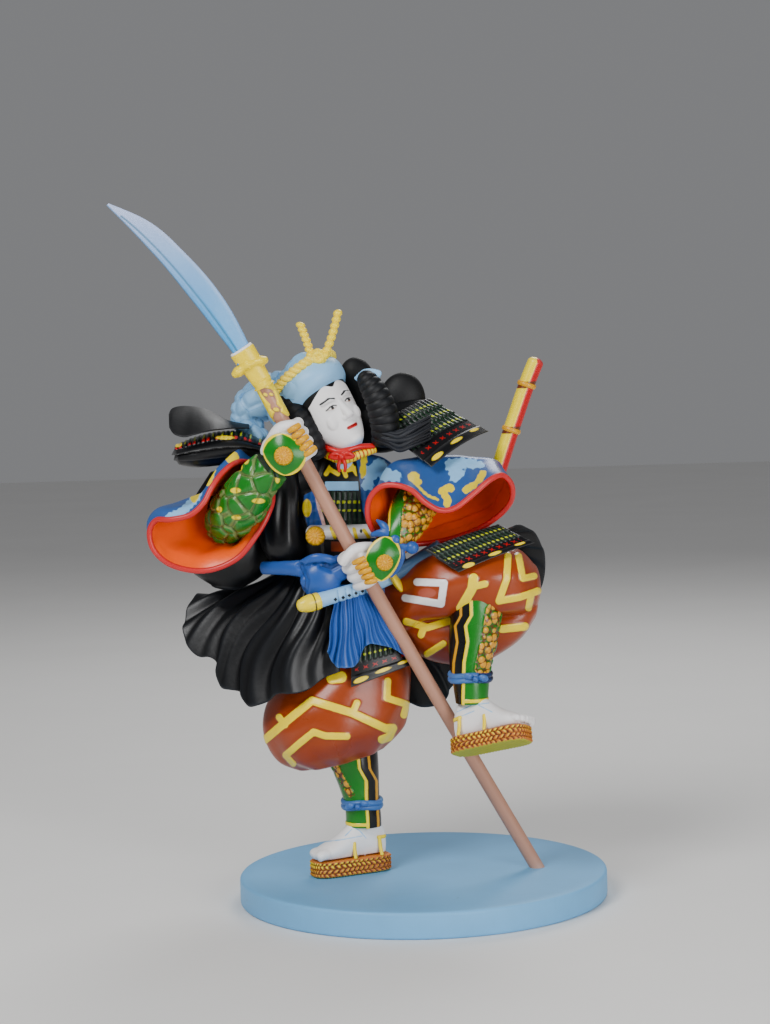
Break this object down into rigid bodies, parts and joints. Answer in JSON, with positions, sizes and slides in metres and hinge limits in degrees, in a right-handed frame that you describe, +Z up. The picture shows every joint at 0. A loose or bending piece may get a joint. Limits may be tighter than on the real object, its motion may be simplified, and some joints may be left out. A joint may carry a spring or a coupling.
{
  "type": "samurai statue",
  "caption": "Painted figurine of an armoured warrior standing on one leg on a round board, holding a long glaive across the body.",
  "frame": {"origin": "centre of the round base board's underside", "axes": "+Z up, +X to the viewer's right in the picture (the figure's left), -Y towards the viewer"},
  "size_m": [0.2235, 0.176, 0.3328],
  "materials": {
    "board_blue": "matt light-blue paint",
    "dowel_steel": "plain",
    "staff_taupe": "satin pinkish-brown paint",
    "yellow": "cast resin, gloss yellow paint",
    "blade_blue": "cast resin, blue-grey paint",
    "straw": "cast resin, plait painted brown and yellow",
    "white": "cast resin, white paint",
    "guard_green": "cast resin, gloss green paint with yellow edges",
    "rust": "cast resin, gloss rust-brown paint with yellow zigzags",
    "armour_dark": "cast resin, dark armour with green and yellow lacing",
    "black_robe": "cast resin, satin black paint",
    "sleeve_blue": "cast resin, blue outside with clouds and leaves, orange lining",
    "sash_blue": "cast resin, satin blue paint",
    "hood_blue": "cast resin, pale-blue paint",
    "hair_black": "cast resin, satin black paint",
    "cord_red": "cast resin, red paint"
  },
  "bodies": {
    "root": {"base_disc": "board_blue", "staff": "staff_taupe", "foot_dowel": "dowel_steel", "blade_ferrule": "yellow", "glaive_blade": "blade_blue", "right_sandal": "straw", "left_sandal": "straw", "torso": "armour_dark", "robe": "black_robe", "right_sleeve": "sleeve_blue", "left_sleeve": "sleeve_blue", "robe_sleeve": "black_robe", "left_shin_and_foot": "guard_green", "right_shin_and_foot": "guard_green", "front_panel": "armour_dark", "side_panel": "armour_dark", "right_trouser": "rust", "left_trouser": "rust", "right_ankle_tie": "sash_blue", "left_ankle_tie": "sash_blue", "right_forearm": "guard_green", "left_forearm": "guard_green", "right_hand": "white", "left_hand": "white", "wrist_bow": "sash_blue", "head": "white", "hood": "hood_blue", "headband": "yellow", "right_hair_lock": "hair_black", "left_hair_lock": "hair_black", "robe_lobes": "black_robe", "hair_bundle": "hair_black", "collar_cord": "cord_red", "left_shoulder_guard": "armour_dark", "right_shoulder_guard": "armour_dark", "belt": "yellow", "sash": "sash_blue", "short_sword": "hood_blue", "sash_tails": "sash_blue", "long_scabbard": "yellow"}
  },
  "joints": []
}
